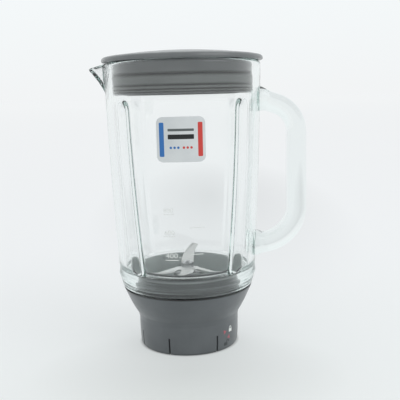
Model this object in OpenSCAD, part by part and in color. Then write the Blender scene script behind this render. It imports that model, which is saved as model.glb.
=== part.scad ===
// Glass blender jar: a moulded jug on a screw-on base with a bladed shaft, closed by a sealed lid
// Millimetres. The base ring stands on z = 0, the shaft axis is Z, the handle is at +X, the spout at -X

/* [Base] */
// Height of the base collar
collar_h = 54; // [50:0.5:60]
// Outer radius of the collar at its top edge
collar_top_r = 58; // [57:0.5:60]
// Outer radius of the ring that stands on the table
ring_r = 44; // [43:0.5:46]
// Height of the upright ring, up to the waist
ring_h = 21; // [19:0.5:23]
// Thickness of the moulded collar wall
collar_wall = 2.6; // [2.2:0.1:3.2]
// Height of the slits that free the bayonet tabs
slit_h = 15; // [12:0.5:16]
// Width of a slit
slit_w = 1.7; // [1.2:0.1:2.4]

/* [Jug] */
// Height of the glass from its shoulder to its rim
jug_h = 196; // [170:1:220]
// Outer radius of the jug at the rim
jug_top_r = 68; // [66:0.5:70]
// Outer radius of the jug just above the shoulder
jug_low_r = 61.2; // [60:0.2:63]
// Glass thickness at the mouth
mouth_wall = 6.5; // [6:0.1:7.2]
// Glass thickness low on the wall
low_wall = 5.6; // [5:0.1:6.5]
// How far the wall bows outwards between rim and shoulder
wall_bow = 1.1; // [0:0.1:2]
// Height of the shoulder band below the bead
shoulder_h = 11.5; // [10:0.5:13]
// How far the threaded neck stands in from the collar's top edge
neck_step = 7.8; // [7.4:0.1:9]
// Glass thickness at the neck
neck_wall = 3.6; // [3.2:0.1:4.6]
// Length of the neck below the shoulder
neck_h = 9; // [7:0.5:9.5]
// Height of the inner ledge above the shoulder
ledge_h = 15; // [14:0.1:17]
// Height of the wall's foot above the ledge
foot_h = 4; // [3.5:0.1:6]
// Radius of the four ribs inside the wall
rib_r = 5.4; // [4.5:0.1:6]
// Distance of the ribs from the jug's middle plane
rib_y = 39.8; // [37:0.2:42]
// Distance from the lid's plug down to the tops of the ribs
rib_gap = 5.5; // [0.6:0.1:9]

/* [Spout and handle] */
// Reach of the spout from the shaft axis
spout_reach = 81.5; // [77:0.5:86]
// Half of the angle between the spout's sides
spout_half_angle = 42; // [34:1:48]
// Lean of the spout's keel from upright
spout_lean = 31; // [25:1:36]
// Reach of the handle from the shaft axis
handle_reach = 107.8; // [100:0.2:116]
// Thickness of the handle, seen from the front
handle_t = 17.5; // [15:0.5:20]
// Width of the handle across
handle_w = 23; // [19:0.5:27]
// Radius of the handle's middle line at its top bend
handle_top_bend = 25.8; // [22:0.2:30]
// Radius of the handle's middle line at its bottom bend
handle_low_bend = 32.5; // [28:0.5:36]
// Distance from the rim down to the top bend's centre
handle_drop = 62; // [57:0.5:68]
// Distance between the two bend centres
handle_span = 67; // [55:0.5:80]

/* [Lid] */
// Outer radius of the lid
lid_r = 70.2; // [69:0.2:73]
// Thickness of the lid at its rim
lid_t = 4.6; // [4.2:0.2:6]
// Rise of the lid's top at the centre
lid_rise = 5.4; // [3.5:0.1:7]
// Thickness of the lid's top and skirt
lid_wall = 2.4; // [2:0.1:3]
// How far the lid's plug reaches into the mouth
plug_h = 26.8; // [24:0.2:28]
// Height of the band of rubber round the plug
lid_seal_h = 15.6; // [14:0.2:17]
// Radius of the filler hole in the lid
filler_r = 25; // [22:0.5:28]
// Depth of the filler cap's cup
filler_h = 24; // [18:0.5:28]

/* [Blades] */
// Radius swept by the lower blade
blade_reach = 37; // [30:0.5:39]
// Width of a blade at its root
blade_w = 11.5; // [10:0.25:13]
// Thickness of the blade sheet
blade_t = 1.5; // [1.2:0.1:2]
// Angle of the upper blade's raised arm
raised_angle = 64; // [45:1:70]
// Length of the raised arm past its bend
raised_len = 18.5; // [14:0.5:20]
// Length of the upper blade's low arm past its bend
low_arm_len = 14; // [10:0.5:20]
// Angle by which the low arms bend down
droop = 15; // [5:1:20]
// How far the upper blade's tips sweep back
blade_sweep = 8; // [4:0.5:10]
// Turn of the blades about the shaft
blade_turn = 2; // [-90:1:90]

/* [Shaft and carrier] */
// Radius of the shaft in its bushes
shaft_r = 4; // [3.5:0.1:4.5]
// Radial running clearance of the shaft
run_gap = 0.04; // [0.02:0.01:0.08]
// End play between the turning and the standing parts
end_gap = 0.4; // [0.3:0.05:0.6]
// Outer radius of the bushes
bush_r = 7; // [6.5:0.1:7.5]
// Length of a bush
bush_h = 9; // [7:0.5:10]
// Height of the carrier's hub above its flange
hub_h = 19.8; // [18:0.1:22]
// How far the hub reaches below the flange
hub_drop = 18; // [16.5:0.5:19]
// Radius of the hub
hub_r = 12; // [11:0.25:13]
// Thickness of the carrier's flange
flange_t = 3.5; // [3:0.1:4]
// Thickness of the jug's sealing ring
seal_t = 3; // [2.5:0.1:3.5]
// Radius of the drive coupling over its lobes
coupling_r = 15; // [14:0.5:17]
// Height of the drive coupling
coupling_h = 15.5; // [13:0.5:16.5]
// Number of lobes on the drive coupling
coupling_lobes = 6; // [4:1:8]

/* [Label] */
// Width of the printed label
label_w = 39; // [30:1:44]
// Height of the printed label
label_h = 36; // [28:1:42]
// Distance from the rim down to the label's centre
label_drop = 63; // [56:1:80]
// Sideways place of the label's centre
label_x = -1.2; // [-6:0.2:6]

/* [Hidden] */
$fn = 96;

// Colours, as the object has them
clear_glass = [0.88, 0.93, 0.92, 0.45];
dark_plastic = [0.30, 0.33, 0.35];
seal_rubber = [0.40, 0.42, 0.42];
steel = [0.78, 0.79, 0.80];
bronze = [0.62, 0.47, 0.30];
brass = [0.80, 0.66, 0.36];
label_grey = [0.80, 0.82, 0.84];

// General small values
eps = 0.01;
cut_past = 1;
fit_gap = 0.05;
seat_gap = 0.3;

// Levels of the glass, from the collar up
shoulder_gap = 1.2;
shoulder_z = collar_h + shoulder_gap;
bead_z = shoulder_z + shoulder_h;
wall_z = bead_z + 5;
rim_z = shoulder_z + jug_h;
neck_z = shoulder_z - neck_h;
neck_r = collar_top_r - neck_step;
neck_bore_r = neck_r - neck_wall;
ledge_z = shoulder_z + ledge_h;
mouth_r = jug_top_r - mouth_wall;
low_inner_r = jug_low_r - low_wall;
wall_top_z = rim_z - plug_h - 3;
wall_low_z = ledge_z + foot_h;
rim_round = mouth_wall / 2;
lip_z = rim_z - rim_round;
shoulder_r = collar_top_r + 0.4;
spout_wall = 4.4;
tip_dip = 3;
keel_r = spout_wall + 1.4;
bead_r = jug_low_r + 0.5;

// Levels of the base, from the glass neck down
seal_z = neck_z - seal_t;
shelf_z = seal_z - flange_t;
shelf_t = 3;
waist_r = ring_r - 0.2;
waist_bend_r = 5;
ring_round = 2;
collar_rib_h = 5;
collar_rib_t = 1.6;
ring_top_r = ring_r + 0.9;
sleeve_r = neck_r + 0.4;
sleeve_wall = 2.2;
flange_r = neck_r - 1.6;
cup_r = neck_bore_r - 0.4;
cup_wall = 2.8;
cup_rim_z = ledge_z + 1.6;
lug_h = 3;
lug_z = 3.5;
lug_in = 2.2;
lug_angle = 18;
skirt_r = hub_r + 11;
shelf_hole_r = skirt_r + 1;
key_w = 7.8;
key_len = 7.3;
tab_angles = [-44, 56.5];
slit_angles = [-66, -22, 34, 79];

// Levels of the hub and of what turns in it
hub_top_z = seal_z + hub_h;
hub_low_z = seal_z - hub_drop;
pocket_h = 3.6;
pocket_r = bush_r + 1.5;
retainer_t = 0.8;
retainer_bore = shaft_r + 1.6;
deck_t = 3;
deck_z = seal_z + deck_t;
fillet_h = 8;
hub_foot_z = deck_z + fillet_h;
retainer_h = 3.2;
spacer_z = hub_top_z + retainer_t + end_gap;
spacer_h = 2;
lower_blade_z = spacer_z + spacer_h;
upper_blade_z = lower_blade_z + blade_t;
washer_z = upper_blade_z + blade_t;
washer_t = 1;
nut_z = washer_z + washer_t;
nut_h = 4.6;
stub_r = shaft_r - 1;
stub_flat = 0.7;
washer_low_z = hub_low_z - end_gap - washer_t;
clip_t = 0.9;
clip_z = washer_low_z - clip_t;
groove_r = shaft_r - 0.7;
coupling_top_z = clip_z - 0.4;
coupling_z = coupling_top_z - coupling_h;
insert_z = coupling_z + 2.5;
insert_h = coupling_h - 3.5;
insert_r = 7.2;
blade_root_r = 8;
bend_r = 4;
bend_steps = 5;

// Levels of the lid and of its plug
lid_z = rim_z;
lid_top_z = lid_z + lid_t;
lid_crown_z = lid_top_z + lid_rise;
crown_r = (pow(lid_r, 2) + pow(lid_rise, 2)) / (2 * lid_rise);
plug_z = lid_z - plug_h;
plug_r = mouth_r - 1.1;
lid_seal_z = plug_z + 1.4;
lid_seal_t = 1.3;
lip_h = 1.4;
filler_rim = 4;
cap_t = 2;
filler_z = lid_top_z - filler_h;
roof_z = lid_crown_z - crown_r + sqrt(pow(crown_r, 2) - pow(plug_r, 2)) - lid_wall;
cap_top_z = lid_crown_z - 0.9;
cap_seat_z = cap_top_z - cap_t - 0.3;

// Points on an arc about (cx, cy), from angle a0 to angle a1
function arc(cx, cy, r, a0, a1, n) =
    [for (i = [0:n]) let (a = a0 + (a1 - a0) * i / n) [cx + r * cos(a), cy + r * sin(a)]];

// Outer radius of the glass wall at height z, with its slight bow
function wall_share(z) = (z - wall_z) / (rim_z - wall_z);
function outer_r(z) =
    jug_low_r + (jug_top_r - jug_low_r) * wall_share(z) + 4 * wall_bow * wall_share(z) * (1 - wall_share(z));

// Inner radius of the glass wall at height z
function inner_share(z) = (z - wall_low_z) / (wall_top_z - wall_low_z);
function inner_r(z) =
    low_inner_r + (mouth_r - low_inner_r) * inner_share(z)
    + 3 * wall_bow * inner_share(z) * (1 - inner_share(z));

// Sideways place of a rib's centre at height z, so that it lies on the inner wall
function rib_x(z) = sqrt(pow(inner_r(z), 2) - rib_y * rib_y);

// Half section of the solid jug, without its cavity
module jug_profile() {
    steps = 10;
    wall = [for (i = [0:steps]) let (z = wall_z + (lip_z - wall_z) * i / steps) [outer_r(z), z]];
    lip = arc(jug_top_r - rim_round, lip_z, rim_round, 15, 80, 5);
    polygon(concat(
        [[0, neck_z], [neck_r, neck_z], [neck_r, shoulder_z], [shoulder_r - 1.5, shoulder_z],
         [shoulder_r, shoulder_z + 1.5], [bead_r - 0.8, bead_z - 3], [bead_r, bead_z],
         [bead_r - 0.1, bead_z + 2]],
        wall,
        lip,
        [[0, lip[5][1]]]));
}

// Half section of the space inside the jug
module cavity_profile() {
    steps = 8;
    wall = [for (i = [0:steps]) let (z = wall_low_z + (wall_top_z - wall_low_z) * i / steps) [inner_r(z), z]];
    polygon(concat(
        [[0, neck_z - cut_past], [neck_bore_r, neck_z - cut_past], [neck_bore_r, ledge_z - 1.4],
         [neck_bore_r + 1.2, ledge_z], [low_inner_r - 3.6, ledge_z + 0.5],
         [low_inner_r - 1.2, ledge_z + 1.7]],
        wall,
        [[mouth_r, lip_z]],
        arc(jug_top_r - rim_round, lip_z, rim_round, 165, 110, 4),
        [[jug_top_r - rim_round, rim_z + 1], [0, rim_z + 1]]));
}

// One upright rib with a round top, leaning with the wall
module rib() {
    z_top = plug_z - rib_r - rib_gap;
    z_low = ledge_z - 2;
    run = z_top - wall_low_z;
    lean = atan((rib_x(z_top) - rib_x(wall_low_z)) / run);
    length = (z_top - z_low) / cos(lean);
    translate([rib_x(z_top), rib_y, z_top])
        rotate([0, lean, 0]) {
            sphere(rib_r);
            translate([0, 0, -length])
                cylinder(h = length, r = rib_r);
        }
}

module ribs() {
    for (sx = [0, 1], sy = [0, 1])
        mirror([sx, 0, 0])
            mirror([0, sy, 0])
                rib();
}

// Plan of the spout with its tip at the origin: two straight sides and a round keel, drawn in by inset
module spout_plan(inset) {
    length = 60;
    steps = 8;
    run = [length * cos(spout_half_angle), length * sin(spout_half_angle)];
    keel = arc(keel_r, 0, keel_r - inset, 90 + spout_half_angle, 270 - spout_half_angle, steps);
    polygon(concat([keel[0] + run], keel, [keel[steps] + [run[0], -run[1]]]));
}

// The plan swept along the leaning keel, through the point at the spout's tip
module spout_sweep(inset, above) {
    depth = 50;
    translate([-spout_reach, 0, rim_z - tip_dip])
        rotate([0, -spout_lean, 0])
            translate([0, 0, -depth])
                linear_extrude(depth + above)
                    spout_plan(inset);
}

// Outer form of the spout, cut level with the rim and dipping a little to the tip
module spout() {
    root_x = jug_top_r - 4;
    dip_angle = atan(tip_dip / (spout_reach - root_x));
    block = 50;
    intersection() {
        spout_sweep(0, block);
        translate([-root_x, 0, rim_z - rim_round * 0.6])
            rotate([0, -dip_angle, 0])
                translate([4 - block, -block, -block])
                    cube([block, 2 * block, block]);
    }
}

// Cross-section of the handle: a rectangle with round corners
module handle_section(t, w) {
    r = t * 0.42;
    square([t - 2 * r, w], center = true);
    square([t, w - 2 * r], center = true);
    for (sx = [-1, 1], sy = [-1, 1])
        translate([sx * (t / 2 - r), sy * (w / 2 - r)])
            circle(r);
}

// Handle in the plane y = 0: arm, bend, grip, bend, arm
module handle() {
    grip_x = handle_reach - handle_t / 2;
    top_z = rim_z - handle_drop;
    low_z = top_z - handle_span;
    arm_rise = 18;
    root_flare = 13;
    flare_start = 4;
    seam_lap = 1.5;
    seam_step = 0.1;
    top_cx = grip_x - handle_top_bend;
    low_cx = grip_x - handle_low_bend;
    top_reach = top_cx + handle_top_bend * sin(arm_rise) - (outer_r(top_z) - low_wall / 2);
    low_reach = low_cx - (outer_r(low_z) - low_wall / 2 - 1.5);
    translate([grip_x, 0, low_z])
        linear_extrude(handle_span)
            handle_section(handle_t, handle_w);
    translate([top_cx, 0, top_z])
        rotate([90, 0, 0])
            rotate_extrude(angle = 90 - arm_rise)
                translate([handle_top_bend, 0])
                    handle_section(handle_t, handle_w);
    translate([low_cx, 0, low_z])
        rotate([90, 0, 0])
            rotate_extrude(angle = -90)
                translate([handle_low_bend, 0])
                    handle_section(handle_t, handle_w);
    translate([top_cx + handle_top_bend * sin(arm_rise), 0, top_z + handle_top_bend * cos(arm_rise)])
        rotate([0, -90 + arm_rise, 0]) {
            translate([0, 0, -seam_lap])
                linear_extrude(top_reach / cos(arm_rise) + seam_lap)
                    handle_section(handle_t - 2 * seam_step, handle_w - 2 * seam_step);
            translate([0, 0, flare_start])
                rotate([0, -root_flare, 0])
                    linear_extrude(top_reach - flare_start)
                        handle_section(handle_t - 4 * seam_step, handle_w - 8 * seam_step);
        }
    translate([low_cx, 0, low_z - handle_low_bend])
        rotate([0, -90, 0])
            linear_extrude(low_reach)
                handle_section(handle_t, handle_w);
}

module jug() {
    color(clear_glass)
        difference() {
            union() {
                rotate_extrude()
                    jug_profile();
                spout();
                handle();
            }
            difference() {
                rotate_extrude()
                    cavity_profile();
                ribs();
            }
            spout_sweep(spout_wall, 90);
        }
}

// Printed film on the front of the glass
module label() {
    film = 0.25;
    corner = 5;
    z_mid = rim_z - label_drop;
    steps = 4;
    z_low = z_mid - label_h / 2 - 2;
    z_high = z_mid + label_h / 2 + 2;
    face = [for (i = [0:steps]) let (z = z_low + (z_high - z_low) * i / steps) [outer_r(z) + fit_gap, z]];
    back = [for (i = [steps:-1:0]) [face[i][0] + film, face[i][1]]];
    color(label_grey)
        intersection() {
            rotate_extrude()
                polygon(concat(face, back));
            translate([label_x, 0, z_mid])
                rotate([90, 0, 0])
                    linear_extrude(jug_top_r * 2) {
                        square([label_w - 2 * corner, label_h], center = true);
                        square([label_w, label_h - 2 * corner], center = true);
                        for (sx = [-1, 1], sy = [-1, 1])
                            translate([sx * (label_w / 2 - corner), sy * (label_h / 2 - corner)])
                                circle(corner);
                    }
        }
}

// Lid: domed top, rounded rim, plug skirt with a seat for the rubber, well for the filler cap
module lid() {
    edge = lid_t * 0.42;
    crown_a = asin((lid_r - edge) / crown_r);
    seat_r = plug_r - lid_seal_t;
    color(dark_plastic)
        difference() {
            rotate_extrude() {
                polygon(concat(
                    [[0, roof_z], [plug_r - lid_wall, roof_z],
                     [plug_r - lid_wall, lid_z], [lid_r - edge, lid_z]],
                    arc(lid_r - edge, lid_z + edge, edge, -90, 40, 8),
                    arc(0, lid_crown_z - crown_r, crown_r, 90 - crown_a, 90, 10)));
                polygon([[plug_r - lid_wall - 1.2, plug_z], [plug_r - 0.6, plug_z],
                    [plug_r, plug_z + 0.8], [plug_r, lid_seal_z], [seat_r, lid_seal_z],
                    [seat_r, lid_seal_z + lid_seal_h], [plug_r, lid_seal_z + lid_seal_h],
                    [plug_r, lid_z + eps], [plug_r - lid_wall - 1.2, lid_z + eps]]);
                translate([filler_r, filler_z + 4])
                    square([lid_wall, roof_z - filler_z - 3]);
            }
            translate([0, 0, filler_z])
                cylinder(h = filler_h + lid_rise + cut_past, r = filler_r);
            translate([0, 0, cap_seat_z])
                cylinder(h = cap_t + lid_rise, r = filler_r + filler_rim);
            for (a = [0, 180])
                rotate(a)
                    translate([0, 0, filler_z + 4 - cut_past])
                        rotate_extrude(angle = 22)
                            translate([filler_r - cut_past, 0])
                                square([lid_wall + 2 * cut_past, 6 + cut_past]);
        }
}

// Rubber band in the plug's seat, with three lips that wipe the glass
module lid_seal() {
    lip_levels = [1.2, lid_seal_h * 0.42, lid_seal_h - 2.6];
    lip_out = mouth_r - plug_r - 0.15;
    root_r = plug_r - lid_seal_t + fit_gap;
    color(seal_rubber)
        rotate_extrude() {
            translate([root_r, lid_seal_z + fit_gap])
                square([lid_seal_t - 0.2, lid_seal_h - 2 * fit_gap]);
            for (z = lip_levels)
                translate([plug_r - 0.3, lid_seal_z + z])
                    polygon([[0, 0], [lip_out * 0.5, 0.1], [lip_out + 0.3, lip_h * 0.75],
                        [lip_out + 0.3, lip_h], [0, lip_h]]);
        }
}

// Filler cap: a cup with a flat rim flush in the lid and a grip bar across its well
module filler_cap() {
    cap_r = filler_r - seat_gap;
    cap_lug_angle = 18;
    well_h = 4.5;
    floor_t = 2.5;
    grip_t = 6;
    color(dark_plastic) {
        difference() {
            union() {
                translate([0, 0, filler_z])
                    cylinder(h = cap_top_z - filler_z, r = cap_r);
                translate([0, 0, cap_seat_z + fit_gap])
                    cylinder(h = cap_top_z - cap_seat_z - fit_gap, r = filler_r + filler_rim - seat_gap);
            }
            translate([0, 0, filler_z - cut_past])
                cylinder(h = filler_h - well_h - floor_t + cut_past, r = cap_r - cap_t);
            translate([0, 0, lid_top_z - well_h])
                difference() {
                    cylinder(h = well_h + lid_rise + cut_past, r = cap_r - cap_t - 1);
                    translate([-cap_r, -grip_t / 2, -cut_past])
                        cube([2 * cap_r, grip_t, well_h + lid_rise + 3 * cut_past]);
                }
        }
        for (a = [0, 180])
            rotate(a + 2)
                translate([0, 0, filler_z + 5])
                    rotate_extrude(angle = cap_lug_angle)
                        translate([cap_r - 0.5, 0])
                            square([0.5 + lid_wall * 0.7, 2.4]);
    }
}

// Outer half section of the collar: upright ring, waist and flared bowl, drawn in by inset
function collar_curve(inset) = concat(
    [[ring_r - inset, 0], [ring_top_r - inset, ring_h - 2.5]],
    arc(ring_top_r - ring_round - inset, ring_h - 2.5, ring_round, 20, 60, 4),
    arc(waist_r + waist_bend_r - inset, ring_h + 6, waist_bend_r, 205, 150, 6),
    [[ring_top_r + (collar_top_r - ring_top_r) * 0.42 - inset, ring_h + (collar_h - ring_h) * 0.46],
     [ring_top_r + (collar_top_r - ring_top_r) * 0.62 - inset, ring_h + (collar_h - ring_h) * 0.62],
     [collar_top_r - 0.9 - inset, collar_h - 3], [collar_top_r - inset, collar_h]]);

// Base collar: bowl, ring with slit bayonet tabs, shelf and the sleeve that the neck screws into
module base_collar() {
    inside = collar_curve(collar_wall);
    rib_z = shelf_z - shelf_t - collar_rib_h;
    color(dark_plastic)
        difference() {
            union() {
                rotate_extrude() {
                    difference() {
                        polygon(concat([[0, 0]], collar_curve(0), [[0, collar_h]]));
                        polygon(concat([[-1, -cut_past], [ring_r - collar_wall, -cut_past]], inside,
                            [[collar_top_r - collar_wall, collar_h + cut_past], [-1, collar_h + cut_past]]));
                    }
                    intersection() {
                        polygon(concat([[0, 0]], collar_curve(0), [[0, collar_h]]));
                        union() {
                            translate([shelf_hole_r, shelf_z - shelf_t])
                                square([collar_top_r - shelf_hole_r, shelf_t]);
                            translate([sleeve_r, shelf_z - shelf_t])
                                square([sleeve_wall, shoulder_z - 1.6 - shelf_z + shelf_t]);
                        }
                    }
                    translate([shelf_hole_r, rib_z])
                        square([2, collar_rib_h + 1]);
                }
                for (a = [0:30:330])
                    rotate(a)
                        translate([shelf_hole_r + 1, -collar_rib_t / 2, rib_z])
                            cube([ring_r - collar_wall - shelf_hole_r, collar_rib_t, collar_rib_h + eps]);
                for (turn = [0, 180], a = tab_angles)
                    rotate(turn + a - 90 - lug_angle / 2)
                        translate([0, 0, lug_z])
                            rotate_extrude(angle = lug_angle)
                                translate([ring_r - collar_wall - lug_in, 0])
                                    square([lug_in + 1, lug_h]);
            }
            for (turn = [0, 180], a = slit_angles)
                rotate(turn + a - 90)
                    translate([ring_r - collar_wall - 3, -slit_w / 2, -cut_past])
                        cube([10, slit_w, slit_h + cut_past]);
            for (a = [0:90:270])
                rotate(a + 45)
                    translate([skirt_r, -key_w / 2 - seat_gap, rib_z - cut_past])
                        cube([key_len + 2 * seat_gap, key_w + 2 * seat_gap,
                            shelf_t + collar_rib_h + 2 * cut_past]);
        }
}

// Sealing ring between the glass neck and the carrier's flange
module jug_seal() {
    color(seal_rubber)
        rotate_extrude()
            translate([cup_r + fit_gap, seal_z])
                square([flange_r - cup_r - 2 * fit_gap, seal_t]);
}

// Blade carrier: cup that rises in the glass neck, flange, hub with two bush seats and a seal pocket
module blade_carrier() {
    rib_t = 1.8;
    floor_r = cup_r - cup_wall;
    bore_r = shaft_r + 1.4;
    color(dark_plastic)
        difference() {
            union() {
                rotate_extrude() {
                    difference() {
                        polygon([[0, hub_low_z], [hub_r, hub_low_z], [hub_r, shelf_z - 2],
                            [skirt_r, shelf_z - 2], [skirt_r, shelf_z], [flange_r, shelf_z],
                            [flange_r, seal_z], [cup_r, seal_z], [cup_r, cup_rim_z - 0.8],
                            [cup_r - 0.8, cup_rim_z], [floor_r + 0.8, cup_rim_z], [floor_r, cup_rim_z - 0.8],
                            [floor_r - 0.6, deck_z + 5], [floor_r - 1.8, deck_z + 2.2], [floor_r - 5, deck_z],
                            [hub_r + 9, deck_z + 1], [hub_r + 3, deck_z + 4.5], [hub_r, hub_foot_z],
                            [hub_r, hub_top_z], [0, hub_top_z]]);
                        polygon([[hub_r + deck_t, shelf_z - 3], [skirt_r - 2, shelf_z - 3],
                            [skirt_r - 2, deck_z - deck_t], [hub_r + 9, deck_z + 1 - deck_t],
                            [hub_r + deck_t, deck_z + 2.5 - deck_t]]);
                    }
                }
                for (a = [0:45:315])
                    rotate(a + 22.5)
                        translate([hub_r + deck_t - 1, -rib_t / 2, shelf_z - 2])
                            cube([skirt_r - hub_r - deck_t, rib_t, deck_z - deck_t + 2.2 - shelf_z]);
                for (a = [0:90:270])
                    rotate(a + 45)
                        translate([skirt_r - 1, -key_w / 2, shelf_z - shelf_t])
                            cube([key_len + 1, key_w, shelf_t + eps]);
            }
            translate([0, 0, hub_low_z - cut_past])
                cylinder(h = hub_top_z - hub_low_z + 2 * cut_past, r = bore_r);
            translate([0, 0, hub_low_z - cut_past])
                cylinder(h = bush_h + cut_past, r = bush_r);
            translate([0, 0, hub_top_z - pocket_h - bush_h])
                cylinder(h = bush_h + pocket_h + cut_past, r = bush_r);
            translate([0, 0, hub_top_z - pocket_h])
                cylinder(h = pocket_h + cut_past, r = pocket_r);
        }
}

// A plain ring, bored for the shaft
module ring(z, h, outer, bore) {
    translate([0, 0, z])
        difference() {
            cylinder(h = h, r = outer);
            translate([0, 0, -cut_past])
                cylinder(h = h + 2 * cut_past, r = bore);
        }
}

module upper_bush() {
    color(bronze)
        ring(hub_top_z - pocket_h - bush_h, bush_h, bush_r, shaft_r + run_gap);
}

module lower_bush() {
    color(bronze)
        ring(hub_low_z, bush_h, bush_r, shaft_r + run_gap);
}

// Lip seal: a rubber ring with a hollow below its lip
module shaft_seal() {
    z = hub_top_z - pocket_h;
    bore = shaft_r + run_gap;
    color(seal_rubber)
        rotate_extrude()
            polygon([[bore + 1.8, z], [pocket_r, z], [pocket_r, z + pocket_h], [bore, z + pocket_h],
                [bore, z + pocket_h - 1], [bore + 1.2, z + pocket_h - 1.6]]);
}

// Pressed cap over the hub that holds the shaft seal down
module seal_retainer() {
    r = hub_r + fit_gap;
    z = hub_top_z;
    color(steel)
        rotate_extrude()
            polygon([[r, z - retainer_h], [r + retainer_t, z - retainer_h],
                [r + retainer_t, z], [r, z + retainer_t], [retainer_bore, z + retainer_t],
                [retainer_bore, z + fit_gap], [r, z + fit_gap]]);
}

// Shaft: journal, stub with two flats for the blades, groove for the clip, threaded lower end
module shaft() {
    low_z = insert_z + 0.5;
    stub_top_z = nut_z + nut_h - 2;
    color(steel)
        difference() {
            union() {
                translate([0, 0, coupling_top_z])
                    cylinder(h = clip_z - coupling_top_z, r = shaft_r);
                translate([0, 0, clip_z - eps])
                    cylinder(h = clip_t + 2 * eps, r = groove_r);
                translate([0, 0, clip_z + clip_t])
                    cylinder(h = spacer_z - clip_z - clip_t, r = shaft_r);
                translate([0, 0, low_z])
                    cylinder(h = coupling_top_z - low_z + eps, r = stub_r);
                translate([0, 0, spacer_z - eps])
                    cylinder(h = stub_top_z - spacer_z, r = stub_r);
            }
            for (s = [0, 1])
                mirror([s, 0, 0])
                    translate([stub_r - stub_flat, -shaft_r, spacer_z])
                        cube([shaft_r, 2 * shaft_r, washer_z - spacer_z]);
        }
}

module blade_spacer() {
    color(steel)
        ring(spacer_z, spacer_h, shaft_r + 2.6, stub_r + fit_gap);
}

// Hole with two flats that keys a blade to the shaft
module keyed_hole() {
    translate([0, 0, -cut_past])
        linear_extrude(blade_t + 2 * cut_past)
            intersection() {
                circle(stub_r + fit_gap);
                square([2 * (stub_r - stub_flat + fit_gap), 4 * stub_r], center = true);
            }
}

// Points along a bent arm at height h in the sheet, from the hub to the tip; arm = [angle, reach]
function arm_face(arm, h) =
    let (s = sign(arm[0]), a = abs(arm[0]), zc = s > 0 ? bend_r : blade_t - bend_r, r = abs(zc - h),
        bend = [for (i = [0:bend_steps])
            [blade_root_r + r * sin(a * i / bend_steps), zc - s * r * cos(a * i / bend_steps)]])
    concat(bend, [bend[bend_steps] + arm[1] * [cos(a), s * sin(a)]]);
function backwards(points) = [for (i = [len(points) - 1:-1:0]) points[i]];
function mirrored(points) = [for (p = points) [-p[0], p[1]]];

// Bent sheet of a blade with its right and left arm, wide enough for the swept tips
module bent_sheet(right, left) {
    sheet_w = blade_w + 2 * blade_sweep;
    rotate([90, 0, 0])
        translate([0, 0, -sheet_w / 2])
            linear_extrude(sheet_w)
                polygon(concat(arm_face(right, 0), backwards(arm_face(right, blade_t)),
                    mirrored(arm_face(left, blade_t)), backwards(mirrored(arm_face(left, 0)))));
}

// What is cut from an arm: all beside its root, all outside its swept plan, and the wedge that
// leaves its ground edge
module arm_trim(arm, tip_w, sweep) {
    reach = arm[1];
    steps = 6;
    grind_w = 2.4;
    edge_t = 0.2;
    clear = 20;
    edge_r = reach * 1.6;
    dip = 2.4 * (edge_r - sqrt(edge_r * edge_r - reach * reach / 4));
    lead_in = sweep + tip_w / 2 - blade_w / 2;
    trail_in = sweep - tip_w / 2 + blade_w / 2;
    lead = [for (i = [1:steps]) let (t = i / steps)
        [reach * t, blade_w / 2 + lead_in * t * t - dip * t * (1 - t)]];
    trail = [for (i = [1:steps]) let (t = i / steps) [reach * t * 0.9, -blade_w / 2 + trail_in * t * t]];
    bend_end = arm_face([arm[0], 0], 0)[bend_steps];
    side_w = 2 * blade_sweep;
    for (y = [blade_w / 2, -blade_w / 2 - side_w])
        translate([-cut_past, y, -blade_t])
            cube([bend_end[0] - 0.2 + cut_past, side_w, 3 * blade_t]);
    translate([bend_end[0], 0, bend_end[1]])
        rotate([0, -arm[0], 0]) {
            translate([0, 0, -blade_t])
                linear_extrude(3 * blade_t)
                    polygon(concat([[-3, blade_w / 2 + 0.5]], lead, backwards(trail),
                        [[-3, -blade_w / 2 - 0.5], [-3, -clear], [reach + clear, -clear],
                         [reach + clear, clear], [-3, clear]]));
            translate([1.5, blade_w / 2 - grind_w, blade_t])
                rotate([0, 0, atan(lead_in / reach)])
                    rotate([-atan((blade_t - edge_t) / grind_w), 0, 0])
                        translate([0, -grind_w, 0])
                            cube([2 * reach, clear, clear]);
        }
}

// A blade turned about the shaft: bent sheet with both arms trimmed, keyed to the shaft's flats
module blade(turn, right, left, right_tip, left_tip, right_sweep, left_sweep) {
    difference() {
        rotate(turn)
            difference() {
                bent_sheet(right, left);
                arm_trim(right, right_tip, right_sweep);
                rotate(180)
                    arm_trim(left, left_tip, left_sweep);
            }
        keyed_hole();
    }
}

module lower_blade() {
    reach = (blade_reach - blade_root_r - bend_r * sin(droop)) / cos(droop);
    tip_w = blade_w * 0.5;
    sweep = -2.5;
    color(steel)
        translate([0, 0, lower_blade_z])
            blade(blade_turn, [-droop, reach], [-droop, reach], tip_w, tip_w, sweep, sweep);
}

module upper_blade() {
    raised_tip_w = blade_w * 0.48;
    low_tip_w = blade_w * 0.25;
    color(steel)
        translate([0, 0, upper_blade_z])
            blade(blade_turn + 90, [raised_angle, raised_len], [-droop, low_arm_len],
                raised_tip_w, low_tip_w, -blade_sweep, -blade_sweep);
}

module blade_washer() {
    color(steel)
        ring(washer_z, washer_t, shaft_r + 1.6, stub_r + fit_gap);
}

// Domed cap nut on the shaft's end
module blade_nut() {
    flats = 5;
    color(steel)
        translate([0, 0, nut_z])
            difference() {
                union() {
                    cylinder(h = nut_h * 0.55, r = flats / cos(30), $fn = 6);
                    intersection() {
                        translate([0, 0, nut_h - flats])
                            sphere(flats);
                        cylinder(h = nut_h + 1, r = flats + 1);
                    }
                }
                translate([0, 0, -cut_past])
                    cylinder(h = nut_h - 1.6 + cut_past, r = stub_r + fit_gap);
            }
}

module thrust_washer() {
    color(bronze)
        ring(washer_low_z, washer_t, bush_r - 0.5, shaft_r + fit_gap);
}

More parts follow.
